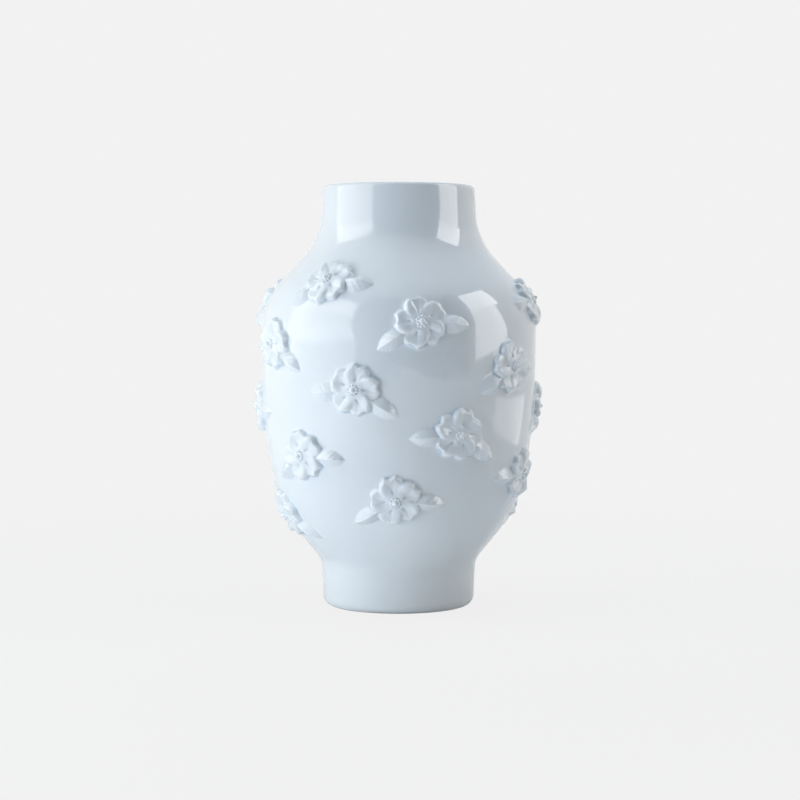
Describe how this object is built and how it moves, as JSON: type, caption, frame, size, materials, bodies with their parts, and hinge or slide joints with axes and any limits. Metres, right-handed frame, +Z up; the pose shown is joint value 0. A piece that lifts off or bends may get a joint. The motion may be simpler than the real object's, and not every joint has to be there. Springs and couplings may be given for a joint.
{
  "type": "flower vase",
  "caption": "Glazed porcelain vase with a round foot, a broad belly set with moulded blossom sprigs, and a short open neck with a rounded lip.",
  "frame": {"origin": "centre of the foot ring, on the surface that the vase stands on", "axes": "+Z up along the axis that the body is turned about, -Y towards the viewer of the front, +X to that viewer's right"},
  "size_m": [0.196, 0.1958, 0.28],
  "materials": {
    "glaze": "gloss glaze, bluish white, bare only on the foot ring"
  },
  "bodies": {
    "root": {"vase_body": "glaze", "blossom_sprig_01": "glaze", "blossom_sprig_02": "glaze", "blossom_sprig_03": "glaze", "blossom_sprig_04": "glaze", "blossom_sprig_05": "glaze", "blossom_sprig_06": "glaze", "blossom_sprig_07": "glaze", "blossom_sprig_08": "glaze", "blossom_sprig_09": "glaze", "blossom_sprig_10": "glaze", "blossom_sprig_11": "glaze", "blossom_sprig_12": "glaze", "blossom_sprig_13": "glaze", "blossom_sprig_14": "glaze", "blossom_sprig_15": "glaze", "blossom_sprig_16": "glaze", "blossom_sprig_17": "glaze", "blossom_sprig_18": "glaze", "blossom_sprig_19": "glaze", "blossom_sprig_20": "glaze", "blossom_sprig_21": "glaze", "blossom_sprig_22": "glaze", "blossom_sprig_23": "glaze", "blossom_sprig_24": "glaze"}
  },
  "joints": []
}
